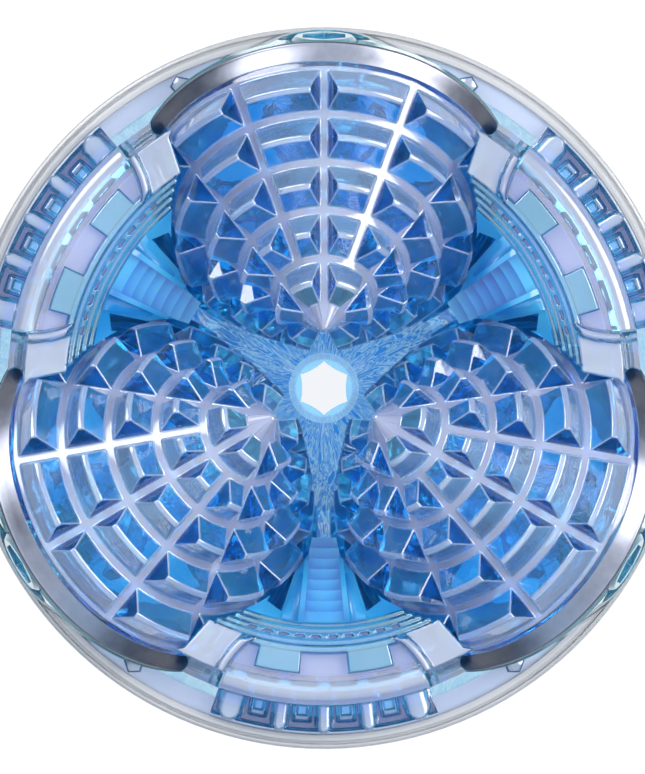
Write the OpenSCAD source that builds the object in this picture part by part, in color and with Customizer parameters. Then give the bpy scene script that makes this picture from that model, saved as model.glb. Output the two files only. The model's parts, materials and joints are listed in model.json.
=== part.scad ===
// Ball puzzle with three toothed cone rollers in a clear bowl.
// Z points out of the open face; the origin is the middle of the foot, on the table.

/* [Ball] */
// Outer radius of the ball
ball_r = 60; // [60:0.5:61]
// Height of the ball's centre above the table
centre_h = 55; // [54.5:0.5:56]
// Wall of the lower bowl
bowl_wall = 2.4; // [2:0.1:2.8]
// Height of the rim joint below and above the ball's centre
rim_half = 3; // [2.6:0.1:3]

/* [Cone rollers] */
// Distance of each cone's point from the middle of the ball
apex_r = 9; // [9:0.1:10]
// Height of each cone's point above the ball's centre
apex_h = 20; // [19:0.5:20.5]
// Slope of each cone's axle below level
tilt = 43.8; // [43.2:0.1:44]
// Half angle of each cone between its tooth rows
half_angle = 43; // [42:0.1:43.2]
// Length of the smooth tip along the cone's side
tip_len = 4.3; // [4:0.1:5]
// Spacing of the tooth rows along the cone's side
row_pitch = 7.9; // [7.5:0.1:7.9]
// Number of tooth rows
rows = 5; // [5:1:5]
// Teeth around each row, except the first row, which has half as many
teeth = 12; // [12:2:12]
// Height of a full tooth
tooth_h = 3.8; // [3:0.1:3.9]
// Width of the valley between teeth
valley_w = 1.3; // [1:0.1:1.6]
// Width of the flat crest of a tooth
crest_w = 0.9; // [0.7:0.1:1.2]

/* [Axles] */
// Radius of the axle
axle_r = 3.5; // [3:0.1:3.6]
// Radial running clearance between axle and bush
run_gap = 0.05; // [0.03:0.01:0.08]
// Outer radius of the bush
bush_r = 5.2; // [5:0.1:5.6]

/* [Fasteners] */
// Slope of the hex plug above the ball's middle plane
plug_slope = 11.3; // [11:0.1:11.6]
// Radius of the hex plug's head
plug_head_r = 5.5; // [5:0.1:5.8]
// Radius of the counterbore around the head
plug_bore_r = 7.6; // [7.2:0.1:7.8]
// Hex socket, across its corners
hex_across = 8; // [7:0.1:8.2]

/* [Maze] */
// Half angle of each sunken lane
lane_half = 19.4; // [19:0.1:19.8]
// Height of the deck above the ball's centre
deck_h = 14.5; // [14.3:0.1:15]
// Height of the sunken lane's floor above the ball's centre
lane_h = 12.7; // [12.4:0.1:13]
// Steps on each ramp
ramp_steps = 8; // [6:1:9]
// Radius of the loose ball
loose_r = 3.5; // [3:0.1:3.6]
// Radius of the race that the loose ball runs round
race_r = 31; // [30:0.5:31.5]

/* [Centre] */
// Outer radius of the centre tube
tube_r = 5.8; // [5.6:0.1:5.9]
// Wall of the centre tube
tube_wall = 1.1; // [1:0.1:1.2]
// Height of the centre tube's top above the ball's centre
tube_top = 8; // [4:0.5:10]

/* [Hidden] */
$fn = 96;

// Small step that carries a cut past a face
eps = 0.05;
// Spacing of the three cones and the three sectors
third = 120;

// Cone profile: a point at slant distance l from the apex, h above the valley surface
function on_cone(l, h) = [l * sin(half_angle) + h * cos(half_angle),
    l * cos(half_angle) - h * sin(half_angle)];
function row_start(i) = tip_len + i * row_pitch;
// The first row is a little lower than the others
function row_height(i) = i == 0 ? 0.78 * tooth_h : tooth_h;
cone_len = row_start(rows);
rim_pt = on_cone(cone_len, 0);
strip_s = rim_pt[1] + 1;
strip_r = rim_pt[0] + 0.35;
spigot_r = 28.6;
band_r = 31.6;
back_s = strip_s + 3.2;
collar_r = 6.5;
collar_s = strip_s + 0.15;
collar_w = 1.2;
keeper_r = 12;
bush_s = 14;
axle_s = 15;
tooth_run = 1.6;
valley_sink = 0.1;

// Carrier behind each cone
carrier_gap = 0.4;
yoke_s = back_s + carrier_gap;
yoke_r = 27.5;
yoke_t = 2.5;
hub_r = 8;
shroud_r = 31.4;
crease_s = 47.7;
crease_r = 23.3;
plug_top = 59.3;
plug_seat = 57.7;
head_edge = (plug_top - plug_seat) / 2;
plug_foot = 55;
plug_shank = 2.4;
socket_depth = 1.4;
lug_foot = 52.4;
lug_top = 56;
lug_r = 6;

inner_r = ball_r - bowl_wall;
floor_z = -(centre_h - 1.5);
frame_in = 54.5;
frame_out = sqrt(inner_r * inner_r - rim_half * rim_half);
frame_lip = 58.5;
clear_top = 4;
swing_gap = 0.6;
foot_t = centre_h + floor_z;
screw_r = 1.9;
axle_end_s = 59.5;
axle_head_s = 62.2;
axle_head_r = 3.6;
base_screw_at = 22.2;
base_screw_r = 1.2;

// Maze sectors, as radius and height above the ball's centre
sector_out = 57.4;
rim_in = 56.6;
cove_r = 49.5;
rib_h = 1.5;
rib_inset = 0.12;
rib_w = 1.8;
rib_out = 57.2;
bend_steps = 8;
deck_foot = 5.2;
step_r = 38.7;
step_w = 0.95;
slot_r = step_r + 2 * step_w + 0.2;
step_z = deck_h - 4;
deck_under = deck_h - 4.8;
lane_in = 43.7;
kerb_at = 50.2;
kerb_r = 2.3;
kerb_rise = 0.9;
lane_t = 3.5;
pocket_z = 4.2;
fin_h = 5.2;
funnel_in = 25;
funnel_z = -4.9;
wall_in = 28.5;
tread_h = 2.4;

// Race in the base
tray_z = floor_z + bowl_wall;
race_z = -44.5;
lid_z = -36.8;
lane_w = 4.5;
lid_t = 1.6;
dish_r = 6;
dish_out = 23;
dish_rise = 5.5;
dish_step = 3;
dish_ribs = 18;
dish_groove = 1.8;
dish_tilt = 9;

module at_cone(k) {
    rotate([0, 0, 90 - third * (k - 1)])
        translate([apex_r, 0, centre_h + apex_h])
            rotate([0, 90 + tilt, 0])
                children();
}

module at_plug(k) {
    rotate([0, 0, 90 - third * (k - 1)])
        translate([0, 0, centre_h])
            rotate([0, 90 - plug_slope, 0])
                children();
}

module at_sector(k) {
    rotate([0, 0, 30 - third * (k - 1)])
        translate([0, 0, centre_h])
            children();
}

module ring(r_out, r_in, z0, z1) {
    translate([0, 0, z0])
        difference() {
            cylinder(r = r_out, h = z1 - z0);
            translate([0, 0, -eps])
                cylinder(r = r_in, h = z1 - z0 + 2 * eps);
        }
}

// A profile turned through the angles from a0 to a1
module turned(a0, a1) {
    rotate([0, 0, a0])
        rotate_extrude(angle = a1 - a0)
            children();
}

// A ring segment with square ends
module arc_block(r0, r1, a0, a1, z0, z1) {
    turned(a0, a1)
        translate([r0, z0])
            square([r1 - r0, z1 - z0]);
}

// ---- Cone rollers ----

module cone_profile() {
    flank = [for (i = [0 : rows - 1], p = [
        on_cone(row_start(i) + valley_w / 2, 0),
        on_cone(row_start(i) + row_pitch / 2 - crest_w / 2, row_height(i)),
        on_cone(row_start(i) + row_pitch / 2 + crest_w / 2, row_height(i)),
        on_cone(row_start(i + 1) - valley_w / 2, 0)]) p];
    polygon(concat([[0, 0.5], [0.5, 0.5]], flank,
        [rim_pt, [strip_r, strip_s], [spigot_r, strip_s], [spigot_r, back_s],
         [keeper_r, back_s], [keeper_r, strip_s], [bush_r, strip_s], [bush_r, bush_s], [0, bush_s]]));
}

// One straight valley cut along the cone's side, a hair under the surface so that its floor is flat
module valley_cut(from_l) {
    depth = tooth_h + 1.2;
    spread = tooth_run * depth / tooth_h;
    rotate([0, half_angle, 0])
        translate([0, 0, from_l])
            linear_extrude(height = cone_len + 1.5 - from_l)
                polygon([[-valley_sink, -valley_w / 2], [-valley_sink, valley_w / 2], [0, valley_w / 2],
                    [depth, valley_w / 2 + spread], [depth, -valley_w / 2 - spread], [0, -valley_w / 2]]);
}

module toothed_cone(k) {
    at_cone(k)
        difference() {
            rotate_extrude()
                cone_profile();
            for (j = [0 : teeth - 1])
                rotate([0, 0, j * 360 / teeth])
                    valley_cut(j % 2 == 0 ? tip_len : row_start(1) - valley_w / 2);
        }
}

module cone_band(k) {
    at_cone(k)
        rotate_extrude()
            polygon([[spigot_r, strip_s], [strip_r - 0.2, strip_s], [band_r - 0.3, back_s - 0.8],
                [band_r, back_s - 0.5], [band_r, back_s], [spigot_r, back_s]]);
}

module cone_bush(k) {
    at_cone(k)
        ring(bush_r, axle_r + run_gap, bush_s, strip_s);
}

module cone_retainer(k) {
    at_cone(k)
        difference() {
            ring(keeper_r, axle_r + run_gap, strip_s, back_s);
            translate([0, 0, strip_s - eps])
                cylinder(r = collar_r + 0.2, h = collar_w + 0.3 + eps);
        }
}

module axle(k) {
    at_cone(k) {
        translate([0, 0, axle_s])
            cylinder(r = axle_r, h = axle_end_s - axle_s);
        translate([0, 0, collar_s])
            cylinder(r = collar_r, h = collar_w);
    }
}

// Everything a turning cone sweeps, with its shroud, grown by a gap
module cone_sweep(k, gap) {
    at_cone(k)
        rotate_extrude()
            polygon([[0, -2], on_cone(0, tooth_h + gap) + [0, -0.4],
                on_cone(cone_len - 2.5, tooth_h + gap), [band_r + gap, strip_s + 0.4],
                [band_r + gap, back_s + 1], [crease_r + gap, crease_s + gap * 0.6], [0, crease_s + gap * 0.6]]);
}

// ---- Carriers ----

module yoke(k) {
    intersection() {
        translate([0, 0, centre_h])
            sphere(r = inner_r, $fn = 128);
        difference() {
            union() {
                at_cone(k) {
                    translate([0, 0, yoke_s])
                        cylinder(r = yoke_r, h = yoke_t);
                    translate([0, 0, yoke_s])
                        cylinder(r = hub_r, h = 30);
                    for (j = [0 : 5])
                        rotate([0, 0, 30 + j * 60])
                            translate([0, -1.2, yoke_s])
                                cube([19, 2.4, 7]);
                }
                at_plug(k)
                    translate([0, 0, lug_foot])
                        cylinder(r = lug_r, h = lug_top - lug_foot);
            }
            at_cone(k)
                cylinder(r = axle_r, h = 70);
            at_cone(k)
                translate([0, 0, back_s - 10])
                    cylinder(r = band_r, h = 10 + carrier_gap);
            at_plug(k)
                cylinder(r = plug_shank, h = 70);
        }
    }
}

module cone_shroud(k) {
    wall = 2.2;
    difference() {
        union() {
            at_cone(k)
                rotate_extrude()
                    polygon([[yoke_r, yoke_s], [shroud_r - 0.3, yoke_s], [shroud_r, yoke_s + 0.5],
                        [crease_r, crease_s], [crease_r - 4, crease_s], [crease_r - 4, crease_s - wall],
                        [crease_r - 1.4, crease_s - wall], [yoke_r, yoke_s + 3.4]]);
            intersection() {
                at_plug(k)
                    translate([0, 0, lug_top])
                        cylinder(r = 9.6, h = 6);
                at_cone(k)
                    rotate_extrude()
                        polygon([[0, yoke_s + yoke_t], [yoke_r, yoke_s + yoke_t], [shroud_r, yoke_s + 0.5],
                            [crease_r, crease_s], [0, crease_s]]);
            }
        }
        at_plug(k) {
            cylinder(r = plug_shank, h = 70);
            translate([0, 0, plug_seat])
                cylinder(r = plug_bore_r, h = 10);
        }
        translate([0, 0, centre_h])
            ring(ball_r + 5, frame_out - 0.1, -20, clear_top);
    }
}

module hex_plugs() {
    color("lightsteelblue")
        for (k = [1 : 3])
            at_plug(k)
                difference() {
                    union() {
                        translate([0, 0, plug_foot])
                            cylinder(r = plug_shank, h = plug_seat - plug_foot);
                        translate([0, 0, plug_seat])
                            cylinder(r1 = plug_head_r - head_edge, r2 = plug_head_r, h = head_edge);
                        translate([0, 0, plug_top - head_edge])
                            cylinder(r1 = plug_head_r, r2 = plug_head_r - head_edge, h = head_edge);
                    }
                    translate([0, 0, plug_top - socket_depth])
                        cylinder(d = hex_across, h = 4, $fn = 6);
                }
}

module axle_screws() {
    color("lightsteelblue")
        for (k = [1 : 3])
            at_cone(k)
                difference() {
                    union() {
                        translate([0, 0, axle_end_s])
                            cylinder(r = screw_r, h = axle_head_s - axle_end_s);
                        translate([0, 0, axle_head_s])
                            cylinder(r = axle_head_r, h = 1.2);
                    }
                    translate([0, 0, axle_head_s + 0.3])
                        cylinder(d = 3.6, h = 2, $fn = 6);
                }
}

// ---- Outer shell ----

module bowl() {
    color("deepskyblue")
        difference() {
            translate([0, 0, centre_h])
                intersection() {
                    sphere(r = ball_r, $fn = 128);
                    translate([0, 0, floor_z])
                        cylinder(r = ball_r + 1, h = -rim_half - floor_z);
                }
            translate([0, 0, centre_h])
                intersection() {
                    sphere(r = inner_r, $fn = 128);
                    translate([0, 0, tray_z])
                        cylinder(r = ball_r, h = ball_r);
                }
            cylinder(r = tube_r, h = 10);
            for (k = [1 : 3]) {
                at_cone(k) {
                    translate([0, 0, 55])
                        cylinder(r = screw_r, h = 20);
                    translate([0, 0, axle_head_s])
                        cylinder(r = axle_head_r, h = 20);
                }
                at_base_screw(k)
                    cylinder(r = base_screw_r, h = 10);
            }
        }
}

module at_base_screw(k) {
    rotate([0, 0, 90 - third * (k - 1)])
        translate([base_screw_at, 0, 0])
            children();
}

module foot_ring() {
    color("midnightblue")
        difference() {
            ring(26, 14, 0, foot_t);
            for (k = [1 : 3])
                at_base_screw(k)
                    translate([0, 0, -eps])
                        cylinder(r = 3, h = foot_t + 2 * eps);
        }
}

module base_screws() {
    color("silver")
        for (k = [1 : 3])
            at_base_screw(k)
                difference() {
                    union() {
                        translate([0, 0, 0.3])
                            cylinder(r = 2.4, h = foot_t - 0.3);
                        translate([0, 0, 1])
                            cylinder(r = base_screw_r, h = 6.5);
                    }
                    translate([0, 0, -1])
                        cylinder(d = 2.4, h = 2, $fn = 6);
                }
}

module rim_frame() {
    color("dodgerblue")
        difference() {
            translate([0, 0, centre_h]) {
                ring(frame_out, frame_in, -rim_half, rim_half);
                ring(frame_lip, frame_out - eps, -rim_half, -1);
            }
            for (k = [1 : 3])
                cone_sweep(k, 0.1);
        }
}

module clear_rim() {
    color("gainsboro")
        translate([0, 0, centre_h])
            rotate_extrude($fn = 160)
                polygon([[frame_lip, -rim_half], [ball_r, -rim_half], [ball_r, 3.2], [59.6, 3.6], [59.2, 3.6],
                    [59.2, 3], [58.7, 3], [58.7, clear_top], [frame_out, clear_top], [frame_out, -1],
                    [frame_lip, -1]]);
}

// ---- Maze sectors ----

function polar(r, a) = [r * cos(a), r * sin(a)];
// Hollow curve from the deck's edge down to the rim
function cove(t) = [rim_in - (rim_in - cove_r) * cos(t), deck_foot + (deck_h - deck_foot) * (1 - sin(t))];
cove_pts = [for (t = [0 : 10 : 90]) cove(t)];
step_pts = [for (i = [0 : 3], p = [[step_r + i * step_w, step_z + i], [step_r + (i + 1) * step_w, step_z + i]]) p];

module sweeps() {
    for (k = [0 : 1])
        rotate([0, 0, 90 - k * third - 30])
            translate([0, 0, -centre_h])
                rotate([0, 0, -90])
                    cone_sweep(1, swing_gap);
}

// The lane's edge: straight in from the rim, then curving towards the lane's middle
function bend(p0, p1, p2, t) = p0 * (1 - t) * (1 - t) + p1 * 2 * t * (1 - t) + p2 * t * t;
edge_pts = concat([polar(70, lane_half)], [for (i = [0 : bend_steps])
    bend(polar(52.5, lane_half), polar(46, lane_half), polar(42.2, lane_half - 4.8), i / bend_steps)]);
edge_run = [for (i = [0 : bend_steps + 1]) edge_pts[min(i + 1, bend_steps + 1)] - edge_pts[max(i - 1, 0)]];
function beside(i, d) = edge_pts[i] + [-edge_run[i][1], edge_run[i][0]] / norm(edge_run[i]) * -d;
function mirrored(pts) = [for (i = [len(pts) - 1 : -1 : 0]) [pts[i][0], -pts[i][1]]];

// The sunken lane's outline, cut through
module lane_plan() {
    translate([0, 0, -20])
        linear_extrude(height = 60)
            difference() {
                polygon(concat(edge_pts, mirrored(edge_pts)));
                circle(r = lane_in);
            }
}

// Raised rib along the lane's edge, with its inner end hooked towards the lane's middle
module hook_rib() {
    last = bend_steps;
    intersection() {
        linear_extrude(height = 40)
            polygon(concat([for (i = [0 : last]) beside(i, rib_inset)],
                [for (i = [0 : last]) beside(last - i, rib_w)]));
        turned(10, 30)
            polygon(concat([[40, deck_h - 0.8], [40, deck_h + rib_h]],
                [for (p = cove_pts) p + [0, rib_h]],
                [[rib_out, deck_foot + rib_h], [rib_out, deck_foot - 0.8]],
                [for (i = [0 : 9]) cove_pts[9 - i] - [0, 0.8]]));
    }
}

module deck(k) {
    at_sector(k)
        difference() {
            union() {
                difference() {
                    turned(-40, 40)
                        polygon(concat([[step_r, step_z - 2]], step_pts, [[42.5, deck_h], [cove_r, deck_h]], cove_pts,
                            [[sector_out, deck_foot], [sector_out, rim_half], [52, rim_half], [47.5, deck_under],
                             [lane_in - 2, deck_under]]));
                    lane_plan();
                }
                for (side = [0 : 1])
                    mirror([0, side, 0]) {
                        arc_block(lane_in - 0.5, 47.2, 4.8, 14.2, lane_h, deck_h);
                        hook_rib();
                        rotate([0, 0, 34.6])
                            translate([55.4, 0, rim_half + 0.4])
                                cylinder(r = 1.3, h = 5, $fn = 5);
                    }
            }
            for (side = [0 : 1])
                mirror([0, side, 0]) {
                    arc_block(55.5, 56.9, 23.2, 32.4, rim_half - 1, deck_foot + 6);
                    for (a = [0.8 : 3.7 : 17])
                        arc_block(slot_r, slot_r + 0.6, a, a + 2.1, step_z + 1.5, step_z + 4);
                }
            sweeps();
        }
}

module lane(k) {
    at_sector(k)
        difference() {
            intersection() {
                union() {
                    turned(-24, 24)
                        polygon([[lane_in, lane_h - lane_t], [lane_in, lane_h], [kerb_at, lane_h],
                            [kerb_at + kerb_r - 0.4, lane_h - kerb_r], [kerb_at + kerb_r - 0.4, pocket_z],
                            [rim_in, pocket_z], [rim_in, 6.4], [sector_out, 6.4], [sector_out, rim_half],
                            [52, rim_half], [47.5, lane_h - lane_t]]);
                    turned(-24, 24)
                        translate([kerb_at, lane_h + kerb_rise - kerb_r])
                            circle(r = kerb_r);
                    for (a = [-16.4, -7.6, 0, 7.6, 16.4])
                        rotate([0, 0, a])
                            fin(abs(a) > 10 ? 2.1 : 1.4);
                    for (a = [-11.6, -3.9, 3.9, 11.6])
                        rotate([0, 0, a])
                            pocket_block();
                }
                lane_plan();
            }
            sweeps();
        }
}

// A fin with a round outer end across the pocket row
module fin(half_w) {
    translate([0, 0, rim_half + 0.4]) {
        translate([51.6, -half_w, 0])
            cube([rib_out - half_w - 51.6, 2 * half_w, fin_h]);
        translate([rib_out - half_w, 0, 0])
            cylinder(r = half_w, h = fin_h);
    }
}

module pocket_block() {
    difference() {
        translate([52, -1.5, pocket_z - 0.5])
            rotate([0, 9, 0])
                cube([3.4, 3, 2.6]);
        translate([52.6, -0.8, pocket_z + 1.2])
            cube([1.6, 1.6, 4]);
    }
}

module funnel(k) {
    at_sector(k)
        difference() {
            turned(-30, 30)
                polygon([[step_r, step_z], [step_r, step_z - 2], [funnel_in, funnel_z - 2.1], [funnel_in, funnel_z]]);
            for (side = [0 : 1])
                mirror([0, side, 0])
                    translate([0, 0, -20])
                        linear_extrude(height = 40)
                            polygon([polar(37.6, 10.8), polar(36.4, 15), polar(33, 13), polar(30.6, 9)]);
            sweeps();
        }
}

function slope_z(r) = funnel_z + (step_z - funnel_z) * (r - funnel_in) / (step_r - funnel_in);

module ramp(k) {
    step_len = (step_r - funnel_in) / ramp_steps;
    treads = [for (i = [0 : ramp_steps - 1], p = [
        [funnel_in + i * step_len, slope_z(funnel_in + i * step_len) + tread_h],
        [funnel_in + (i + 1) * step_len, slope_z(funnel_in + i * step_len) + tread_h]]) p];
    at_sector(k)
        difference() {
            union() {
                turned(-5.2, 5.2)
                    polygon(concat([[funnel_in, funnel_z]], treads, [[step_r, step_z]]));
                for (side = [0 : 1])
                    mirror([0, side, 0]) {
                        turned(5, 6.4)
                            polygon([[wall_in, slope_z(wall_in)], [wall_in, slope_z(wall_in) + tread_h + 0.8],
                                [step_r, step_z + tread_h + 0.4], [step_r, step_z]]);
                        intersection() {
                            turned(6.2, 11)
                                polygon([[30, slope_z(30)], [30, slope_z(30) + 0.9], [step_r, step_z + 0.9],
                                    [step_r, step_z]]);
                            translate([0, 0, -20])
                                linear_extrude(height = 40)
                                    polygon([polar(39, 5.8), polar(39, 10.6), polar(31, 7.4), polar(31, 5.8)]);
                        }
                    }
            }
            sweeps();
        }
}

// ---- Inside the base ----

module inside_ball() {
    intersection() {
        translate([0, 0, centre_h])
            sphere(r = inner_r, $fn = 128);
        children();
    }
}

module race_tray() {
    color("royalblue")
        inside_ball()
            difference() {
                translate([0, 0, centre_h])
                    rotate_extrude()
                        polygon([[20, tray_z], [60, tray_z], [60, lid_z], [race_r + lane_w, lid_z],
                            [race_r + lane_w, race_z], [race_r - lane_w, race_z], [race_r - lane_w, lid_z],
                            [race_r - lane_w - 2, lid_z], [race_r - lane_w - 2, tray_z + 5], [20, tray_z + 5]]);
                for (k = [1 : 3])
                    at_base_screw(k)
                        cylinder(r = base_screw_r, h = 7.5);
            }
}

// Race cover, with a grooved dish round the centre tube
module race_lid() {
    lid_top = lid_z + lid_t;
    dish_top = lid_top + dish_rise;
    color("lightcyan")
        inside_ball()
            difference() {
                translate([0, 0, centre_h])
                    rotate_extrude()
                        polygon([[dish_r, lid_top - dish_step], [dish_out, lid_z], [60, lid_z], [60, lid_top],
                            [dish_out, lid_top], [dish_out - 2, dish_top - dish_step], [dish_r, dish_top]]);
                for (j = [0 : dish_ribs - 1])
                    rotate([0, 0, (j + 0.5) * 360 / dish_ribs])
                        translate([dish_r + 2.5, 0, centre_h + dish_top])
                            rotate([45, dish_tilt, 0])
                                translate([0, -dish_groove / 2, -dish_groove / 2])
                                    cube([dish_out, dish_groove, dish_groove]);
                for (k = [1 : 3])
                    at_sector(k)
                        translate([race_r, 0, lid_z - 1])
                            cylinder(r = loose_r + 0.8, h = 4);
            }
}

module centre_tube() {
    color("skyblue")
        translate([0, 0, centre_h])
            ring(tube_r, tube_r - tube_wall, floor_z, tube_top);
}

// Six petals that leave a six-pointed opening
module petal_ring() {
    point_r = 4.45;
    petal_in = 3.6;
    petal_at = (point_r * point_r - petal_in * petal_in) / (2 * (point_r * cos(30) - petal_in));
    color("powderblue")
        translate([0, 0, centre_h + tube_top]) {
            ring(tube_r, tube_r - tube_wall - eps, 0, 0.8);
            intersection() {
                translate([0, 0, -2])
                    cylinder(r = tube_r - tube_wall, h = 2.8);
                for (j = [0 : 5])
                    rotate([0, 0, j * 60])
                        translate([petal_at, 0, -2])
                            cylinder(r = petal_at - petal_in, h = 2.8);
            }
        }
}

module steel_ball() {
    color("silver")
        translate([0, race_r, centre_h + race_z + loose_r + eps])
            sphere(r = loose_r);
}

bowl();
foot_ring();
rim_frame();
clear_rim();
color("lavender") deck(1);  // deck_1
color("lavender") deck(2);  // deck_2
color("lavender") deck(3);  // deck_3
color("cornflowerblue") lane(1);  // lane_1
color("cornflowerblue") lane(2);  // lane_2
color("cornflowerblue") lane(3);  // lane_3
color("dodgerblue") funnel(1);  // funnel_1
color("dodgerblue") funnel(2);  // funnel_2
color("dodgerblue") funnel(3);  // funnel_3
color("deepskyblue") ramp(1);  // ramp_1
color("deepskyblue") ramp(2);  // ramp_2
color("deepskyblue") ramp(3);  // ramp_3
color("lightskyblue") toothed_cone(1);  // toothed_cone_1
color("lightskyblue") toothed_cone(2);  // toothed_cone_2
color("lightskyblue") toothed_cone(3);  // toothed_cone_3
color("silver") cone_band(1);  // cone_band_1
color("silver") cone_band(2);  // cone_band_2
color("silver") cone_band(3);  // cone_band_3
color("goldenrod") cone_bush(1);  // cone_bush_1
color("goldenrod") cone_bush(2);  // cone_bush_2
color("goldenrod") cone_bush(3);  // cone_bush_3
color("steelblue") cone_retainer(1);  // cone_retainer_1
color("steelblue") cone_retainer(2);  // cone_retainer_2
color("steelblue") cone_retainer(3);  // cone_retainer_3
color("lightslategray") axle(1);  // axle_1
color("lightslategray") axle(2);  // axle_2
color("lightslategray") axle(3);  // axle_3
color("royalblue") yoke(1);  // yoke_1
color("royalblue") yoke(2);  // yoke_2
color("royalblue") yoke(3);  // yoke_3
color("lavender") cone_shroud(1);  // cone_shroud_1
color("lavender") cone_shroud(2);  // cone_shroud_2
color("lavender") cone_shroud(3);  // cone_shroud_3
hex_plugs();
axle_screws();
race_tray();
race_lid();
base_screws();
centre_tube();
petal_ring();
steel_ball();
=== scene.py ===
"""Looks for the maze ball puzzle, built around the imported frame. Mesh code works in millimetres."""

import json
import math

import bmesh
import bpy
from mathutils import Matrix, Vector
from mathutils.bvhtree import BVHTree
from mathutils.kdtree import KDTree


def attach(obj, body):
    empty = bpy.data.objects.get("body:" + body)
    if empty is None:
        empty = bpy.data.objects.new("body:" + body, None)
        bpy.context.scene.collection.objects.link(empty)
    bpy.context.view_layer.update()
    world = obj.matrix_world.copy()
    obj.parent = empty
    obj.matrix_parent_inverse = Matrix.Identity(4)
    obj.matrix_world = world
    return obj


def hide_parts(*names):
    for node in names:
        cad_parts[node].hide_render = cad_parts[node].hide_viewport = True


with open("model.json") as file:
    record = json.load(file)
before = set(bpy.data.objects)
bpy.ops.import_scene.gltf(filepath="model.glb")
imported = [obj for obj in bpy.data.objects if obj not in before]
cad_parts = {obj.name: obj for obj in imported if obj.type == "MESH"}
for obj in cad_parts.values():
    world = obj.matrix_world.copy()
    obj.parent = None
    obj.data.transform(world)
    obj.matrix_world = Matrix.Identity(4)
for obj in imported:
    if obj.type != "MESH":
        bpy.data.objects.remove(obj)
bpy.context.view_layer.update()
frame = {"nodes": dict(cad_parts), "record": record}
nodes = frame["nodes"]

MM = 0.001
THIRD = 120
CENTRE_H = 55.0
FLOOR_FADE = 350.0
STROKES_ROUND, STROKES_OUT = 9.0, 170.0
CREASE_STOPS = (0.39, 0.43, 0.47, 0.52, 0.56, 0.61)

# ---------------------------------------------------------------- materials

PLASTIC_IOR, COAT_IOR, COAT_ROUGH = 1.49, 1.9, 0.03
CORNER_SHADE_REACH = 2.6


class Graph:
    """Short way to build a material's nodes."""

    def __init__(self, name):
        self.mat = bpy.data.materials.new(name)
        self.mat.use_nodes = True
        self.tree = self.mat.node_tree
        self.shader = self.tree.nodes["Principled BSDF"]
        self.out = self.tree.nodes["Material Output"]
        self.coord = self.add("ShaderNodeTexCoord")

    def add(self, kind, **inputs):
        node = self.tree.nodes.new(kind)
        for key, value in inputs.items():
            node.inputs[key.replace("_", " ")].default_value = value
        return node

    def link(self, a, b):
        self.tree.links.new(a, b)

    def noise(self, scale, detail=3.0, rough=0.5):
        n = self.add("ShaderNodeTexNoise", Scale=scale, Detail=detail, Roughness=rough)
        self.link(self.coord.outputs["Object"], n.inputs["Vector"])
        return n.outputs["Fac"]

    def ramp(self, fac, stops):
        r = self.tree.nodes.new("ShaderNodeValToRGB")
        el = r.color_ramp.elements
        while len(el) < len(stops):
            el.new(0.5)
        for e, (pos, colour) in zip(el, stops):
            e.position = pos
            e.color = colour if len(colour) == 4 else (*colour, 1.0)
        self.link(fac, r.inputs["Fac"])
        return r.outputs["Color"]

    def radius_share(self, whole):
        """Distance from the upright axis, as a share of whole, which is in millimetres."""
        flat = self.add("ShaderNodeVectorMath")
        flat.operation = "MULTIPLY"
        flat.inputs[1].default_value = (1.0 / (whole * MM), 1.0 / (whole * MM), 0.0)
        self.link(self.coord.outputs["Object"], flat.inputs[0])
        size = self.add("ShaderNodeVectorMath")
        size.operation = "LENGTH"
        self.link(flat.outputs["Vector"], size.inputs[0])
        return size.outputs["Value"]

    def feathers(self, across, along):
        """Noise drawn out from the upright axis: across strokes to a radian, along strokes to a metre."""
        split = self.add("ShaderNodeSeparateXYZ")
        self.link(self.coord.outputs["Object"], split.inputs[0])
        turn = self.add("ShaderNodeMath")
        turn.operation = "ARCTAN2"
        self.link(split.outputs["Y"], turn.inputs[0])
        self.link(split.outputs["X"], turn.inputs[1])
        spread = self.add("ShaderNodeMath")
        spread.operation = "MULTIPLY"
        spread.inputs[1].default_value = across
        self.link(turn.outputs[0], spread.inputs[0])
        place = self.add("ShaderNodeCombineXYZ")
        self.link(spread.outputs[0], place.inputs["X"])
        self.link(self.radius_share(1.0 / (along * MM)), place.inputs["Y"])
        n = self.add("ShaderNodeTexNoise", Scale=1.0, Detail=5.0, Roughness=0.6, Distortion=1.1)
        self.link(place.outputs["Vector"], n.inputs["Vector"])
        return n.outputs["Fac"]

    def corners(self, reach_mm, corner_shade):
        """Painted shade: white that darkens to the given corner colour in inner corners narrower than
        reach_mm.
        """
        ao = self.add("ShaderNodeAmbientOcclusion", Distance=reach_mm * MM)
        ao.samples = 4
        ao.only_local = True
        return self.ramp(ao.outputs["AO"], [(0.45, corner_shade), (0.92, (1.0, 1.0, 1.0))])

    def times(self, a, b):
        mix = self.add("ShaderNodeVectorMath")
        mix.operation = "MULTIPLY"
        self.link(a, mix.inputs[0])
        self.link(b, mix.inputs[1])
        return mix.outputs["Vector"]

    def set(self, name, value):
        self.shader.inputs[name].default_value = value

    def bump(self, fac, distance, strength=1.0):
        b = self.add("ShaderNodeBump", Strength=strength, Distance=distance)
        self.link(fac, b.inputs["Height"])
        self.link(b.outputs["Normal"], self.shader.inputs["Normal"])


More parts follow.
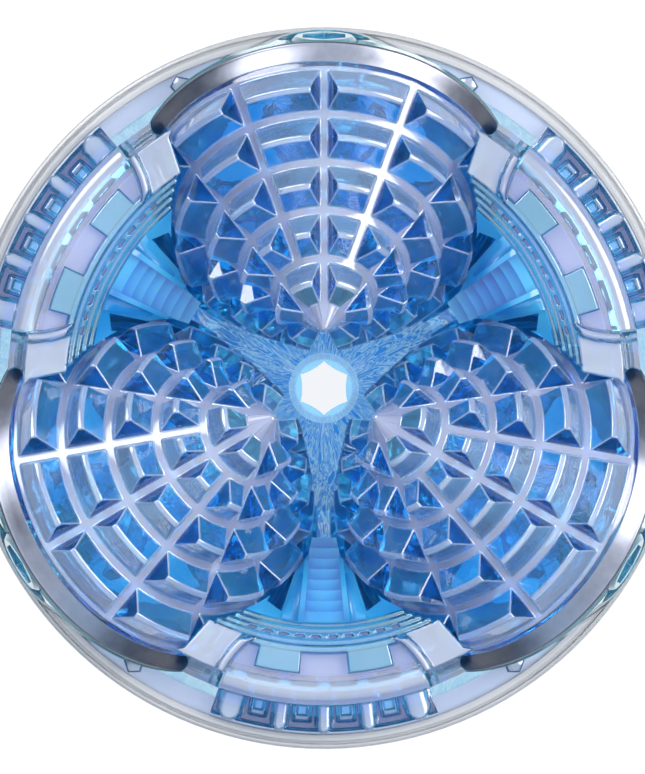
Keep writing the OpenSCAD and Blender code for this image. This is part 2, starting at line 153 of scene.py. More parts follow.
def clear_plastic(name, tint_a, tint_b, depth_colour, density, clear, gloss=0.7, rough=(0.015, 0.05),
                  wave=6e-5, ripple=130.0, corner_shade=None, crackle=0.0, glow=0.0):
    """Polished moulded plastic: tint_a to tint_b at its surface, depth_colour where it is thick.

    wave is the depth of its soft waves in metres and ripple how fine they are; crackle is the depth of
    feathery creases, which take their place; the corner colour paints shade into inner corners; glow stands
    for the light that the clear base carries up into parts that the studio light hardly reaches.
    """
    g = Graph(name)
    g.set("Transmission Weight", clear)
    g.set("IOR", PLASTIC_IOR)
    g.set("Coat Weight", gloss)
    g.set("Coat IOR", COAT_IOR)
    g.set("Coat Roughness", COAT_ROUGH)
    if crackle:
        crease = g.feathers(STROKES_ROUND, STROKES_OUT)
        middle = tuple(0.65 * a + 0.35 * b for a, b in zip(tint_a, tint_b))
        tint = g.ramp(crease, list(zip(CREASE_STOPS, (tint_a, tint_b, middle, tint_a, tint_b, tint_a))))
    else:
        tint = g.ramp(g.noise(55.0, 2.0), [(0.35, tint_a), (0.65, tint_b)])
    # painted shade: the tint darkens in inner corners
    if corner_shade:
        tint = g.times(tint, g.corners(CORNER_SHADE_REACH, corner_shade))
    g.link(tint, g.shader.inputs["Base Color"])
    if glow:
        g.link(tint, g.shader.inputs["Emission Color"])
        g.set("Emission Strength", glow)
    r = g.ramp(g.noise(240.0, 4.0), [(0.3, (rough[0],) * 3), (0.75, (rough[1],) * 3)])
    g.link(r, g.shader.inputs["Roughness"])
    if crackle:
        g.bump(crease, crackle)
    else:
        g.bump(g.noise(ripple, 2.0), wave, 0.35)
    vol = g.add("ShaderNodeVolumeAbsorption", Color=(*depth_colour, 1.0), Density=density)
    g.link(vol.outputs["Volume"], g.out.inputs["Volume"])
    return g.mat


def metal(name, dark, light, rough):
    """Ground metal: one fine grain drives its colour, gloss and relief."""
    g = Graph(name)
    g.set("Metallic", 1.0)
    grain = g.noise(400.0, 4.0, 0.6)
    g.link(g.ramp(grain, [(0.3, dark), (0.7, light)]), g.shader.inputs["Base Color"])
    g.link(g.ramp(grain, [(0.3, (rough[0],) * 3), (0.8, (rough[1],) * 3)]), g.shader.inputs["Roughness"])
    g.bump(grain, 2e-6, 0.4)
    return g.mat


DEEP, DEEP_DENSITY = (0.05, 0.80, 1.0), 42.0


def cone_plastic(name, tint_a, tint_b, clear, **more):
    """One of the cones' surfaces; past the plain one, each carries the painted light and shade of its kind of
    face: they all share the same depth colour.
    """
    return clear_plastic(name, tint_a, tint_b, DEEP, DEEP_DENSITY, clear=clear, **more)


# One clear blue plastic for every cone face: the plain copy is its own colour, the rest paint light and shade
# in. Valleys and outer flanks get a painted reflection, crests and their rounded edges a painted highlight,
# inner flanks and tooth ends painted shade.
CONE = cone_plastic("cone_blue", (0.66, 0.92, 1.0), (0.80, 0.97, 1.0), 0.98, wave=3e-4)
VALLEY_REFLECTION = cone_plastic("cone_valley_reflection", (0.50, 0.53, 0.66), (0.62, 0.65, 0.78), 0.60, rough=(0.04, 0.12))
CREST = cone_plastic("cone_crest_highlight", (0.66, 0.80, 0.92), (0.80, 0.91, 1.0), 0.72)
FLANK_REFLECTION = cone_plastic("cone_flank_reflection", (0.38, 0.64, 0.90), (0.54, 0.78, 1.0), 0.78, wave=2.4e-4, ripple=340.0)
FLANK_SHADE = cone_plastic("cone_flank_shade", (0.12, 0.78, 1.0), (0.34, 0.92, 1.0), 0.92, wave=4e-4, ripple=340.0)
END_SHADE = cone_plastic("cone_end_shade", (0.07, 0.48, 0.84), (0.20, 0.66, 0.98), 0.94, wave=4e-4, ripple=340.0)
CONE_FACES = (CONE, VALLEY_REFLECTION, CREST, FLANK_REFLECTION, FLANK_SHADE, END_SHADE)
PLAIN, VALLEY, TOP, FACE_OUT, FACE_IN, FACE_END = range(6)
# A corner colour given below paints shade into that material's inner corners.
BLUE = clear_plastic("clear_blue", (0.62, 0.88, 1.0), (0.78, 0.95, 1.0), (0.03, 0.76, 1.0), 50.0, clear=0.97)
AZURE = clear_plastic("clear_azure", (0.03, 0.40, 0.80), (0.12, 0.72, 0.96), (0.03, 0.80, 1.0), 40.0,
                      clear=0.62, gloss=0.12, wave=2.5e-4, ripple=300.0, corner_shade=(0.20, 0.58, 0.90), glow=0.06)
CRACKED = clear_plastic("clear_cracked", (0.04, 0.34, 0.86), (0.74, 0.98, 1.0), (0.03, 0.80, 1.0), 24.0,
                        clear=0.56, gloss=0.5, crackle=1.0e-3, glow=0.20)
PALE = clear_plastic("clear_pale", (0.60, 0.63, 0.78), (0.72, 0.75, 0.88), (0.40, 0.66, 1.0), 20.0,
                     clear=0.64)
PETAL = clear_plastic("clear_petal", (0.08, 0.42, 0.68), (0.22, 0.62, 0.86), (0.30, 0.80, 1.0), 20.0,
                      clear=0.72)
SEA = (0.10, 0.72, 1.0)
ICE = clear_plastic("clear_ice", (0.22, 0.66, 0.68), (0.38, 0.82, 0.82), SEA, 60.0, clear=0.76,
                    corner_shade=(0.10, 0.42, 0.78))
# Steep faces, undersides and border walls of the decks and lanes: the same plastic darker and bluer, painted
# shade.
WALL_SHADE = clear_plastic("clear_wall_shade", (0.08, 0.40, 0.60), (0.16, 0.52, 0.74), SEA, 60.0, clear=0.93)
LANE_FLOOR = clear_plastic("clear_lane", (0.57, 0.55, 0.56), (0.67, 0.64, 0.65), SEA, 60.0, clear=0.68,
                           corner_shade=(0.05, 0.40, 0.75))
# Kerb tube, the deck's wings and the rim lip: a pale tint, partly the plastic's own pale tone and partly a
# painted highlight.
KERB = clear_plastic("clear_kerb", (0.60, 0.66, 0.71), (0.72, 0.77, 0.81), SEA, 60.0, clear=0.66)
FIN = clear_plastic("clear_fin", (0.56, 0.68, 0.76), (0.72, 0.80, 0.84), SEA, 60.0, clear=0.68)
POCKET = clear_plastic("clear_pocket", (0.46, 0.58, 0.64), (0.60, 0.70, 0.74), SEA, 60.0, clear=0.70,
                       corner_shade=(0.04, 0.18, 0.50))
BRIGHT = clear_plastic("clear_bright", (0.14, 0.68, 0.94), (0.32, 0.86, 1.0), SEA, 60.0, clear=0.68)
# Slots and the lugs' sides: the same plastic painted dark, as shade.
DARK_SHADE = clear_plastic("clear_dark_shade", (0.05, 0.20, 0.40), (0.08, 0.28, 0.50), SEA, 60.0, clear=0.80)
RIM = clear_plastic("clear_rim", (0.95, 0.945, 0.93), (1.0, 0.99, 0.97), (0.80, 0.84, 0.90), 2.0,
                    clear=0.62)
CHROME = metal("chrome", (0.235, 0.245, 0.29), (0.295, 0.305, 0.35), (0.28, 0.34))
STEEL = metal("steel", (0.45, 0.47, 0.52), (0.66, 0.68, 0.72), (0.12, 0.28))
NODE_MATERIAL = {f"{part}_{k}": AZURE for part in ("funnel", "ramp") for k in (1, 2, 3)}
NODE_MATERIAL.update({"race_lid": CRACKED, "centre_tube": CRACKED, "petal_ring": PETAL, "rim_frame": PALE})
SLOT_MATERIAL = {"cone_blue": CONE, "clear_blue": BLUE, "clear_ice": ICE, "clear_rim": RIM,
                 "chrome": CHROME, "steel": STEEL}

# ---------------------------------------------------------------- mesh helpers


def to_object(name, bm, matrix, materials, body, replaced):
    """bm in millimetres, moved by matrix, as a piece that rides on body and stands for replaced."""
    bm.transform(matrix)
    bm.transform(Matrix.Scale(MM, 4))
    bmesh.ops.recalc_face_normals(bm, faces=bm.faces)
    mesh = bpy.data.meshes.new(name)
    for f in bm.faces:
        f.smooth = True
    bm.to_mesh(mesh)
    bm.free()
    for m in materials:
        mesh.materials.append(m)
    obj = bpy.data.objects.new(name, mesh)
    bpy.context.scene.collection.objects.link(obj)
    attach(obj, body)
    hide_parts(replaced)
    return obj


def bevel(obj, width_mm, angle, material=-1):
    """Rounds the edges that turn by more than angle, in degrees."""
    b = obj.modifiers.new("bevel", "BEVEL")
    b.width = width_mm * MM
    b.segments = 2
    b.limit_method = "ANGLE"
    b.angle_limit = math.radians(angle)
    b.material = material
    b.miter_outer = "MITER_ARC"
    w = obj.modifiers.new("normals", "WEIGHTED_NORMAL")
    w.weight = 60
    w.keep_sharp = False


# ---------------------------------------------------------------- toothed cones

APEX_R, APEX_H, TILT = 9.0, 20.0, 43.8
HALF = math.radians(43.0)
TIP_LEN, PITCH, ROWS, TEETH, COLS = 4.3, 7.9, 5, 12, 5
TOOTH_H, FIRST_H, VALLEY_W, CREST_W, RUN = 3.8, 0.78, 1.3, 0.9, 1.6
TIP_S, NEAR_R, NEAR_S = 0.5, 0.55, 0.62
STRIP_H, STRIP_OUT, BACK_H = 1.0, 0.35, 3.18
BUSH_R, BUSH_S, KEEPER_R, SPIGOT_R = 5.25, 14.0, 12.05, 28.55
CONE_LEN = TIP_LEN + ROWS * PITCH


def cone_matrix(k):
    """From a cone's own frame, along its axle, to the row frame, in millimetres."""
    return (Matrix.Rotation(math.radians(90 - THIRD * (k - 1)), 4, "Z")
            @ Matrix.Translation((APEX_R, 0, CENTRE_H + APEX_H))
            @ Matrix.Rotation(math.radians(90 + TILT), 4, "Y"))


def on_cone(slant, h):
    """Radius and place along the axle, at a slant length and a height above the cone's side."""
    return (slant * math.sin(HALF) + h * math.cos(HALF), slant * math.cos(HALF) - h * math.sin(HALF))


def cone_mesh():
    """Closed cone with wedge teeth: rings along the side, COLS columns of faces to each tooth."""
    rim_r, rim_s = on_cone(CONE_LEN, 0)
    strip_s, strip_r = rim_s + STRIP_H, rim_r + STRIP_OUT
    back_s = strip_s + BACK_H
    bm = bmesh.new()
    sector = 2 * math.pi / TEETH

    def ring(slant, h, row):
        """One ring of vertices; per sector: the valley's two edges, the face's foot, the crest, and back."""
        r, s = on_cone(slant, h)
        r0, s0 = on_cone(slant, 0)
        d = VALLEY_W / 2
        made = []
        for j in range(TEETH):
            whole = row == 0 and j % 2 == 1      # no valley here in the first row
            nxt = row == 0 and (j + 1) % 2 == 1
            a0 = j * sector
            a1 = a0 + sector
            foot0 = a0 + math.asin(d / r0)
            foot1 = a1 - math.asin(d / r0)
            reach = d + RUN * h / TOOTH_H
            top0 = a0 + math.asin(reach / r)
            top1 = a1 - math.asin(reach / r)
            if whole:
                foot0 = top0 = a0
            if nxt:
                foot1 = top1 = a1
            tops = [(r, s, top0 + (top1 - top0) * i / COLS) for i in range(COLS + 1)]
            made.append([(r0, s0, foot0)] + tops + [(r0, s0, foot1)])
        return made

    def vert(p):
        r, s, a = p
        return bm.verts.new((r * math.cos(a), r * math.sin(a), s))

    def valley_ring(slant, row):
        """Ring that lies on the valley surface: two edges of each valley and the columns between."""
        r, s = on_cone(slant, 0)
        d = VALLEY_W / 2
        rows = []
        for j in range(TEETH):
            a0, a1 = j * sector, (j + 1) * sector
            off0 = 0.0 if row == 0 and j % 2 == 1 else math.asin(d / r)
            off1 = 0.0 if row == 0 and (j + 1) % 2 == 1 else math.asin(d / r)
            run = a1 - a0 - off0 - off1
            rows.append([vert((r, s, a0 + off0 + run * i / COLS)) for i in range(COLS + 1)])
        return rows

    def face(kind, *vs):
        """One face; vertices that repeat are dropped."""
        unique = []
        for v in vs:
            if v not in unique:
                unique.append(v)
        if len(unique) >= 3:
            bm.faces.new(unique).material_index = kind

    def join_flat(kind, a, b):
        """Faces between two rings of plain columns, valley gaps included."""
        for j in range(TEETH):
            for i in range(COLS):
                face(kind, a[j][i], a[j][i + 1], b[j][i + 1], b[j][i])
            n = (j + 1) % TEETH
            face(kind, a[j][COLS], a[n][0], b[n][0], b[j][COLS])

    def first_row_share(rows):
        """The first row has six teeth, so every other pair of columns meets in one vertex."""
        for j in range(TEETH):
            n = (j + 1) % TEETH
            if n % 2 == 1:
                old = rows[n][0]
                rows[n][0] = rows[j][COLS]
                bm.verts.remove(old)
        return rows

    previous = None
    for row in range(ROWS):
        start = TIP_LEN + row * PITCH
        h = TOOTH_H * (FIRST_H if row == 0 else 1.0)
        low = valley_ring(start + VALLEY_W / 2, row)
        if row == 0:
            first_row_share(low)
            tip = bm.verts.new((0, 0, TIP_S))
            near = [[vert((NEAR_R, NEAR_S, sector * (j + i / COLS))) for i in range(COLS)]
                    for j in range(TEETH)]
            flat = [v for part in near for v in part]
            for i, v in enumerate(flat):
                face(VALLEY, tip, v, flat[(i + 1) % len(flat)])
            for j in range(TEETH):
                n = (j + 1) % TEETH
                for i in range(COLS):
                    nv = near[j][i + 1] if i + 1 < COLS else near[n][0]
                    face(VALLEY, near[j][i], nv, low[j][i + 1], low[j][i])
                if low[n][0] is not low[j][COLS]:
                    face(VALLEY, near[n][0], low[n][0], low[j][COLS])
        else:
            join_flat(VALLEY, previous, low)
        c0 = ring(start + PITCH / 2 - CREST_W / 2, h, row)
        c1 = ring(start + PITCH / 2 + CREST_W / 2, h, row)
        high = valley_ring(start + PITCH - VALLEY_W / 2, row)
        if row == 0:
            first_row_share(high)
        crest = []
        for made in (c0, c1):
            crest.append([[vert(p) for p in tooth] for tooth in made])
        if row == 0:
            for part in crest:
                for j in range(TEETH):
                    n = (j + 1) % TEETH
                    if n % 2 == 1:      # tooth runs on: share the top, drop the feet
                        top = part[j][COLS + 1]
                        for old in (part[j][COLS + 2], part[n][0], part[n][1]):
                            bm.verts.remove(old)
                        part[j][COLS + 2] = top
                        part[n][0] = top
                        part[n][1] = top
        for j in range(TEETH):
            n = (j + 1) % TEETH
            a, b = crest[0][j], crest[1][j]
            for i in range(COLS):
                face(FACE_IN, low[j][i], low[j][i + 1], a[i + 2], a[i + 1])
                face(TOP, a[i + 1], a[i + 2], b[i + 2], b[i + 1])
                face(FACE_OUT, b[i + 1], b[i + 2], high[j][i + 1], high[j][i])
            if a[0] is not a[1]:
                face(FACE_END, low[j][0], a[1], a[0])
                face(FACE_END, a[0], a[1], b[1], b[0])
                face(FACE_END, b[0], b[1], high[j][0])
            if a[COLS + 2] is not a[COLS + 1]:
                face(FACE_END, low[j][COLS], a[COLS + 2], a[COLS + 1])
                face(FACE_END, a[COLS + 1], a[COLS + 2], b[COLS + 2], b[COLS + 1])
                face(FACE_END, b[COLS + 1], b[COLS + 2], high[j][COLS])
                an, bn = crest[0][n], crest[1][n]
                face(VALLEY, low[j][COLS], low[n][0], an[0], a[COLS + 2])
                face(VALLEY, a[COLS + 2], an[0], bn[0], b[COLS + 2])
                face(VALLEY, b[COLS + 2], bn[0], high[n][0], high[j][COLS])
        previous = high
        if row == 0:
            # the first row's columns open out into the next row's twelve valleys
            fresh = valley_ring(start + PITCH - VALLEY_W / 4, 1)
            join_flat(VALLEY, high, fresh)
            previous = fresh

    # plain rings from the last valley round the back to the bore
    profile = [(rim_r, rim_s), (strip_r, strip_s), (SPIGOT_R, strip_s), (SPIGOT_R, back_s),
               (KEEPER_R, back_s), (KEEPER_R, strip_s), (BUSH_R, strip_s), (BUSH_R, BUSH_S)]
    last = previous
    for r, s in profile:
        new = []
        for j in range(TEETH):
            a0 = j * sector
            base = [math.atan2(v.co.y, v.co.x) % (2 * math.pi) for v in previous[j]]
            base = [b if b >= a0 - 0.3 else b + 2 * math.pi for b in base]
            new.append([vert((r, s, b)) for b in base])
        join_flat(VALLEY if last is previous else PLAIN, last, new)
        last = new
    bm.faces.new([v for part in last for v in part])
    return bm


for k in (1, 2, 3):
    obj = to_object(f"cone_body_{k}", cone_mesh(), cone_matrix(k), CONE_FACES,
                    f"cone_roller_{k}", f"toothed_cone_{k}")
    # the rounded edges take the crest's copy: a painted highlight along each edge
    bevel(obj, 0.22, angle=24.0, material=TOP)

# ---------------------------------------------------------------- decks and lanes

DECK_H, LANE_H, STEP_Z, SHELF_H, POCKET_Z = 14.5, 12.7, 10.5, 5.2, 4.2
STEP_R, STEP_W, DECK_IN, LANE_IN, TAB_OUT = 38.7, 0.95, 42.5, 43.7, 47.2
COVE_R, RIM_IN, SECTOR_OUT = 49.5, 56.6, 57.4
TAB_FROM, TAB_TO, LANE_HALF = 4.8, 14.2, 19.4
KERB_AT, KERB_R, KERB_TOP = 50.2, 2.3, 13.6
FINS = ((0.0, 1.4), (7.6, 1.4), (16.4, 2.1))
FIN_TOP, FIN_TO, FIN_CROWN = 8.6, 57.2, 0.6
BLOCKS = (3.9, 11.6)
BLOCK_HALF, BLOCK_IN, BLOCK_OUT, BLOCK_H, BLOCK_FALL, FALL_FROM = 1.45, 52.3, 55.4, 2.0, 0.16, 52
HOLLOW_HALF, HOLLOW_IN, HOLLOW_OUT, HOLLOW_DEEP = 0.85, 52.7, 54.4, 0.7
HOOK_ANGLE, LIP_Z, STEP_SOFT = 4.8, 6.4, 0.12
RIB_H, RIB_AT, RIB_HALF, RIB_FROM, RIB_FULL = 1.5, 0.95, 0.9, 42.3, 43.6
SLOT_IN, SLOT_OUT, SLOT_FROM, SLOT_TO, SLOT_PITCH, SLOT_LONG, SLOT_DEEP = 40.8, 41.5, 0.8, 17.6, 3.7, 2.1, 0.5
LUG_AT, LUG_ANGLE, LUG_R, LUG_TOP = 55.4, 34.6, 1.8, 8.4
DECK_TOP, WALL_KIND, LANE_KIND, KERB_KIND, FIN_KIND, POCKET_KIND, BRIGHT_KIND, DARK_KIND = range(8)
ROWS_R = ([STEP_R + 0.02 + (LANE_IN - STEP_R - 0.02) * i / 26 for i in range(26)]
          + [LANE_IN + (TAB_OUT - LANE_IN) * i / 18 for i in range(18)]
          + [TAB_OUT + (SECTOR_OUT - 0.02 - TAB_OUT) * i / 52 for i in range(53)])
COLUMN_COUNTS = (20, 38, 20, 36)
TAB_BAND, END_BAND = 1, 3
GAP, DECK_ROUND, LANE_ROUND = 0.01, 0.5, 0.12


def smooth(x, a, b):
    """Rises from 0 at a to 1 at b."""
    t = min(1.0, max(0.0, (x - a) / (b - a)))
    return t * t * (3 - 2 * t)


def polar(r, degrees):
    return Vector((r * math.cos(math.radians(degrees)), r * math.sin(math.radians(degrees))))


def edge_curve():
    """The lane's side edge, from the rim in to the hook's inner end."""
    a, b, c = polar(52.5, LANE_HALF), polar(46, LANE_HALF), polar(42.2, LANE_HALF - HOOK_ANGLE)
    bends = [a * (1 - t) ** 2 + b * 2 * t * (1 - t) + c * t * t for t in (i / 24 for i in range(25))]
    return [polar(SECTOR_OUT + 2, LANE_HALF)] + bends


EDGE = edge_curve()


def edge_angle(r):
    """The lane's side edge at radius r, in degrees."""
    for p, q in zip(EDGE, EDGE[1:]):
        if q.length <= r <= p.length:
            share = (r - q.length) / (p.length - q.length)
            at = q.lerp(p, share)
            return math.degrees(math.atan2(at.y, at.x))
    return LANE_HALF - HOOK_ANGLE


def edge_distance(point):
    """How far point is from the lane's side edge."""
    best = SECTOR_OUT
    for p, q in zip(EDGE, EDGE[1:]):
        run = q - p
        t = max(0.0, min(1.0, (point - p).dot(run) / run.length_squared))
        best = min(best, (p + run * t - point).length)
    return best


def deck_top(r, a):
    """Height and kind of the deck's top at radius r, a degrees from the sector's middle."""
    steps = (STEP_R + i * STEP_W for i in (1, 2, 3, 4))
    z = STEP_Z + sum(smooth(r, at - STEP_SOFT, at + STEP_SOFT) for at in steps)
    if r > COVE_R:
        share = max(0.0, min(1.0, (RIM_IN - r) / (RIM_IN - COVE_R)))
        z = SHELF_H + (DECK_H - SHELF_H) * (1 - math.sqrt(1 - share * share))
    kind = KERB_KIND if a > edge_angle(r) and r > DECK_IN else DECK_TOP
    if r > DECK_IN - 0.4 and a > edge_angle(r):
        off = (edge_distance(polar(r, a)) - RIB_AT) / RIB_HALF
        if abs(off) < 1:
            z += RIB_H * math.sqrt(1 - off * off) * smooth(r, RIB_FROM, RIB_FULL)
    if SLOT_IN < r < SLOT_OUT and SLOT_FROM < a < SLOT_TO and (a - SLOT_FROM) % SLOT_PITCH < SLOT_LONG:
        # the slot's floor takes the dark kind: painted shade in the recess
        z, kind = z - SLOT_DEEP, DARK_KIND
    return z, kind


def lane_top(r, a):
    """Height and kind of the lane's top: floor, kerb, then fins and blocks in the outer pocket."""
    z, kind = POCKET_Z, POCKET_KIND
    if r < KERB_AT:
        z, kind = LANE_H, LANE_KIND
    if abs(r - KERB_AT) < KERB_R:
        bump = KERB_TOP - KERB_R + math.sqrt(KERB_R ** 2 - (r - KERB_AT) ** 2)
        if bump > z:
            z, kind = bump, KERB_KIND
    if r > KERB_AT + KERB_R * 0.7:
        for at, half in FINS:
            u = r * math.sin(math.radians(a - at))
            v = r * math.cos(math.radians(a - at))
            inside = half - math.hypot(u, max(0.0, v - (FIN_TO - half)))
            top = POCKET_Z + (FIN_TOP - FIN_CROWN * (u / half) ** 2 - POCKET_Z) * smooth(inside, -0.05, 0.35)
            if inside > -0.05 and top > z:
                z, kind = top, FIN_KIND
        for at in BLOCKS:
            u = r * math.sin(math.radians(a - at))
            v = r * math.cos(math.radians(a - at))
            inside = min(BLOCK_HALF - abs(u), v - BLOCK_IN, BLOCK_OUT - v)
            top = POCKET_Z + (BLOCK_H - BLOCK_FALL * (v - FALL_FROM)) * smooth(inside, -0.1, 0.25)
            hollow = min(HOLLOW_HALF - abs(u), v - HOLLOW_IN, HOLLOW_OUT - v)
            top -= HOLLOW_DEEP * smooth(hollow, -0.1, 0.15)
            if inside > -0.1 and top > z:
                z, kind = top, BRIGHT_KIND if hollow > -0.1 else POCKET_KIND
    if r > RIM_IN and z < LIP_Z:
        z, kind = POCKET_Z + (LIP_Z - POCKET_Z) * smooth(r, RIM_IN - 0.1, RIM_IN + 0.3), KERB_KIND
    return z, kind


def side_tree(name):
    """Ray casting against a CAD node, in millimetres above the ball's middle."""
    mesh = bmesh.new()
    mesh.from_mesh(nodes[name].data)
    mesh.transform(Matrix.Translation((0, 0, -CENTRE_H)) @ Matrix.Scale(1 / MM, 4))
    mesh.transform(Matrix.Rotation(math.radians(-30), 4, "Z"))
    tree = BVHTree.FromBMesh(mesh)
    mesh.free()
    return tree


def sector_mesh(tree, top_of, wanted, reach, edge_round):
    """Closed mesh on a polar grid: top from top_of, underside from the CAD node below it."""
    bm = bmesh.new()
    columns = []
    for r in ROWS_R:
        knots = [0.0, TAB_FROM, TAB_TO, edge_angle(max(r, LANE_IN)), reach[r]]
        half = [0.0]
        for low, high, count in zip(knots, knots[1:], COLUMN_COUNTS):
            half += [low + (high - low) * (i + 1) / count for i in range(count)]
        columns.append([-a for a in half[:0:-1]] + half)
    last = len(columns[0]) - 1
    starts = [sum(COLUMN_COUNTS[:i]) for i in range(5)]
    cells = []
    for i in range(len(ROWS_R) - 1):
        for j in range(last):
            side = abs(j + 0.5 - last / 2)
            band = max(n for n in range(4) if starts[n] <= side)
            if wanted(ROWS_R[i], band):
                cells.append((i, j))
    used = sorted({(i + di, j + dj) for i, j in cells for di in (0, 1) for dj in (0, 1)})
    edges = {}
    for i, j in cells:
        ring = ((i, j), (i, j + 1), (i + 1, j + 1), (i + 1, j))
        for e in zip(ring, ring[1:] + ring[:1]):
            edges[e] = edges.get(e, 0) + 1
    border = [e for e in edges if (e[1], e[0]) not in edges]
    near = KDTree(len(border))
    for n, (p, _) in enumerate(border):
        near.insert((*polar(ROWS_R[p[0]], columns[p[0]][p[1]]), 0), n)
    near.balance()
    top, low, kinds = {}, {}, {}
    for i, j in used:
        r, a = ROWS_R[i], columns[i][j]
        at = polar(r, a)
        z, kinds[i, j] = top_of(r, abs(a))
        gap = near.find((*at, 0))[2]
        if gap < edge_round:
            z -= edge_round - math.sqrt(edge_round ** 2 - (edge_round - gap) ** 2)
        hit = tree.ray_cast(Vector((*at, -80)), Vector((0, 0, 1)))[0]
        under = min(hit.z + 0.02 if hit else z - 0.5, z - 0.06)
        top[i, j] = bm.verts.new((*at, z))
        low[i, j] = bm.verts.new((*at, under))
    for i, j in cells:
        ring = ((i, j), (i, j + 1), (i + 1, j + 1), (i + 1, j))
        face = bm.faces.new([top[c] for c in ring])
        face.normal_update()
        found = [kinds[c] for c in ring]
        # faces steeper than the normal limit take the wall kind: painted shade on steep sides, as on the
        # underside and border walls below
        face.material_index = max(found, key=found.count) if abs(face.normal.z) > 0.6 else WALL_KIND
        bm.faces.new([low[c] for c in reversed(ring)]).material_index = WALL_KIND
    for p, q in border:
        bm.faces.new([top[q], top[p], low[p], low[q]]).material_index = WALL_KIND
    return bm


def add_lugs(bm):
    """Five-sided lug near each end of the deck's rim: its sides painted dark as shade under a paler top."""
    for side in (-1, 1):
        at = polar(LUG_AT, side * LUG_ANGLE)
        rings = []
        for z, size in ((SHELF_H - 2.0, 1.0), (LUG_TOP - 0.3, 1.0), (LUG_TOP, 0.8)):
            corners = [at + polar(LUG_R * size, 72 * i + side * LUG_ANGLE) for i in range(5)]
            rings.append([bm.verts.new((*c, z)) for c in corners])
        for low, high in zip(rings, rings[1:]):
            for i in range(5):
                n = (i + 1) % 5
                bm.faces.new((low[i], low[n], high[n], high[i])).material_index = DARK_KIND
        bm.faces.new(rings[0][::-1]).material_index = DARK_KIND
        bm.faces.new(rings[-1]).material_index = FIN_KIND


def side_reach(tree):
    """How far the CAD deck goes to the side at each radius, in degrees."""
    found = {}
    for r in ROWS_R:
        a = LANE_HALF
        while a < 41 and tree.ray_cast(Vector((*polar(r, a), 80)), Vector((0, 0, -1)))[0]:
            a += 0.1
        found[r] = a - 0.1
    return found


def on_deck(r, band):
    """The deck's cells: all inside the lane, the tabs, and the ends beyond the lane's side edge."""
    return band == END_BAND or r < LANE_IN - GAP or (band == TAB_BAND and r < TAB_OUT - GAP)


def on_lane(r, band):
    """The lane's cells: all between its side edges, outside the deck's steps."""
    return band < END_BAND and r > LANE_IN - GAP


deck_tree, lane_tree = side_tree("deck_1"), side_tree("lane_1")
reach = side_reach(deck_tree)
SECTOR_FACES = (ICE, WALL_SHADE, LANE_FLOOR, KERB, FIN, POCKET, BRIGHT, DARK_SHADE)
for k in (1, 2, 3):
    turn = Matrix.Rotation(math.radians(30 - THIRD * (k - 1)), 4, "Z") @ Matrix.Translation((0, 0, CENTRE_H))
    deck = sector_mesh(deck_tree, deck_top, on_deck, reach, DECK_ROUND)
    add_lugs(deck)
    to_object(f"deck_body_{k}", deck, turn, SECTOR_FACES, "ball_frame", f"deck_{k}")
    lane = sector_mesh(lane_tree, lane_top, on_lane, reach, LANE_ROUND)
    to_object(f"lane_body_{k}", lane, turn, SECTOR_FACES, "ball_frame", f"lane_{k}")

# ---------------------------------------------------------------- CAD nodes that stay

slot_of = {p["node"]: p["material_slot"] for p in frame["record"]["subparts"]}
for name, obj in nodes.items():
    if obj.hide_render:
        continue
    obj.data.materials.clear()
    obj.data.materials.append(NODE_MATERIAL.get(name) or SLOT_MATERIAL[slot_of[name]])
    weld = obj.modifiers.new("weld", "WELD")
    weld.merge_threshold = 4e-6
    flat = obj.modifiers.new("flat", "DECIMATE")
    flat.decimate_type = "DISSOLVE"
    flat.angle_limit = math.radians(0.4)
    if not name.startswith("ramp"):      # the ramps have edges too short to round
        bevel(obj, 0.15, angle=30.0)

# ---------------------------------------------------------------- stage


def floor_material(name, colour, near, far):
    """Pale sheet that glows under the object and dims away from it."""
    g = Graph(name)
    shade = tuple(c * 0.99 for c in colour)
    g.link(g.ramp(g.noise(3.0), [(0.3, colour), (0.7, shade)]), g.shader.inputs["Base Color"])
    g.set("Roughness", 0.8)
    fade = g.ramp(g.radius_share(FLOOR_FADE), [(0.26, (near,) * 3), (1.0, (far,) * 3)])
    g.link(fade, g.shader.inputs["Emission Color"])
    g.set("Emission Strength", 1.0)
    return g.mat


bm = bmesh.new()
bmesh.ops.create_circle(bm, cap_ends=True, radius=1.6, segments=96)
mesh = bpy.data.meshes.new("floor")
bm.to_mesh(mesh)
bm.free()
floor = bpy.data.objects.new("floor", mesh)
floor.location.z = -0.0002
bpy.context.scene.collection.objects.link(floor)
mesh.materials.append(floor_material("floor", (0.15, 0.15, 0.15), 0.86, 0.12))

world = bpy.data.worlds.new("studio")
bpy.context.scene.world = world
world.use_nodes = True
wt = world.node_tree
wt.nodes.clear()


def wnode(kind, **inputs):
    n = wt.nodes.new(kind)
    for key, value in inputs.items():
        n.inputs[key].default_value = value
    return n


coord = wnode("ShaderNodeTexCoord")
split = wnode("ShaderNodeSeparateXYZ")
wt.links.new(coord.outputs["Generated"], split.inputs[0])


def softbox(direction, inner_deg, outer_deg, colour, strength, before):
    """Adds a round patch of light (or shade) towards a direction."""
    dot = wnode("ShaderNodeVectorMath")
    dot.operation = "DOT_PRODUCT"
    wt.links.new(coord.outputs["Generated"], dot.inputs[0])
    dot.inputs[1].default_value = Vector(direction).normalized()
    step = wnode("ShaderNodeMapRange")
    step.interpolation_type = "SMOOTHSTEP"
    step.inputs["From Min"].default_value = math.cos(math.radians(outer_deg))
    step.inputs["From Max"].default_value = math.cos(math.radians(inner_deg))
    wt.links.new(dot.outputs["Value"], step.inputs["Value"])
    mix = wnode("ShaderNodeMix")
    mix.data_type = "RGBA"
    wt.links.new(step.outputs["Result"], mix.inputs["Factor"])
    wt.links.new(before, mix.inputs["A"])
    mix.inputs["B"].default_value = (*[c * strength for c in colour], 1.0)
    return mix.outputs["Result"]


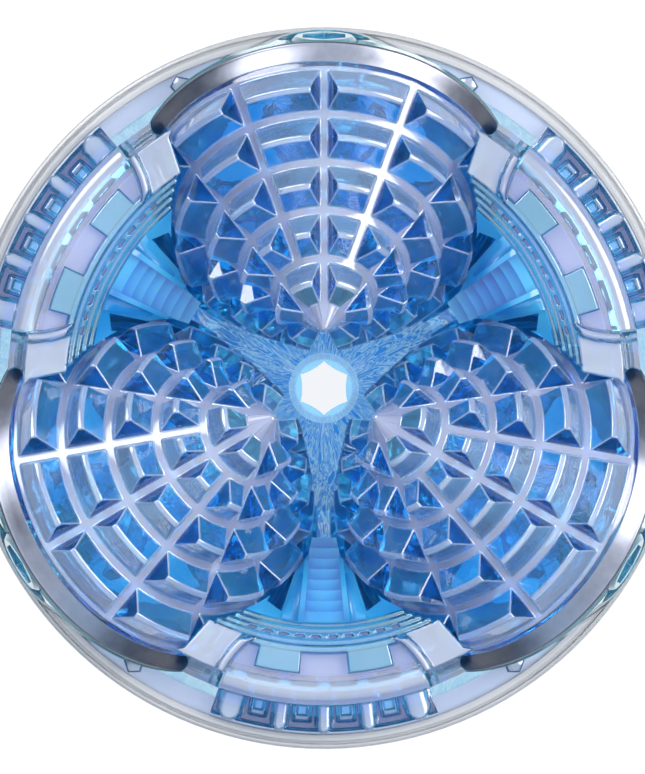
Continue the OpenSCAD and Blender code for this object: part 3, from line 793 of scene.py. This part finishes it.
ramp = wnode("ShaderNodeValToRGB")
el = ramp.color_ramp.elements
stops = [(0.0, (0.36, 0.37, 0.40)), (0.12, (0.20, 0.23, 0.29)), (0.3, (0.08, 0.15, 0.26)),
         (0.5, (0.32, 0.46, 0.62)), (0.8, (1.1, 1.22, 1.38)), (1.0, (1.42, 1.52, 1.74))]
while len(el) < len(stops):
    el.new(0.5)
for e, (pos, c) in zip(el, stops):
    e.position, e.color = pos, (*c, 1.0)
wt.links.new(split.outputs["Z"], ramp.inputs["Fac"])
sky = ramp.outputs["Color"]
sky = softbox((0.75, 0.2, 0.72), 15, 23, (1.0, 0.98, 0.98), 8.0, sky)
sky = softbox((-0.58, 0.66, 0.70), 14, 22, (0.97, 0.97, 1.0), 7.0, sky)
sky = softbox((-0.1, -0.8, 0.66), 12, 20, (0.60, 0.78, 1.0), 1.6, sky)
sky = softbox((-0.85, -0.05, 0.65), 12, 22, (0.03, 0.03, 0.08), 1.0, sky)
back = wnode("ShaderNodeBackground", Strength=1.0)
wt.links.new(sky, back.inputs["Color"])
seen = wnode("ShaderNodeBackground", Strength=1.0)
seen.inputs["Color"].default_value = (0.93, 0.94, 0.95, 1.0)
path = wnode("ShaderNodeLightPath")
pick = wnode("ShaderNodeMixShader")
wt.links.new(path.outputs["Is Camera Ray"], pick.inputs["Fac"])
wt.links.new(back.outputs["Background"], pick.inputs[1])
wt.links.new(seen.outputs["Background"], pick.inputs[2])
wout = wnode("ShaderNodeOutputWorld")
wt.links.new(pick.outputs["Shader"], wout.inputs["Surface"])

cam_data = bpy.data.cameras.new("camera")
cam_data.lens, cam_data.sensor_width = 335, 36
camera = bpy.data.objects.new("camera", cam_data)
bpy.context.scene.collection.objects.link(camera)
camera.location = (-0.00025, 0.00017, CENTRE_H * MM + 1.2)
cam_data.clip_start, cam_data.clip_end = 0.05, 10
bpy.context.scene.camera = camera

scene = bpy.context.scene
scene.view_settings.view_transform = "Standard"
scene.cycles.max_bounces = 16
scene.cycles.transmission_bounces = 16
scene.cycles.glossy_bounces = 8
scene.cycles.diffuse_bounces = 2
scene.cycles.sample_clamp_indirect = 8.0

bpy.context.view_layer.update()
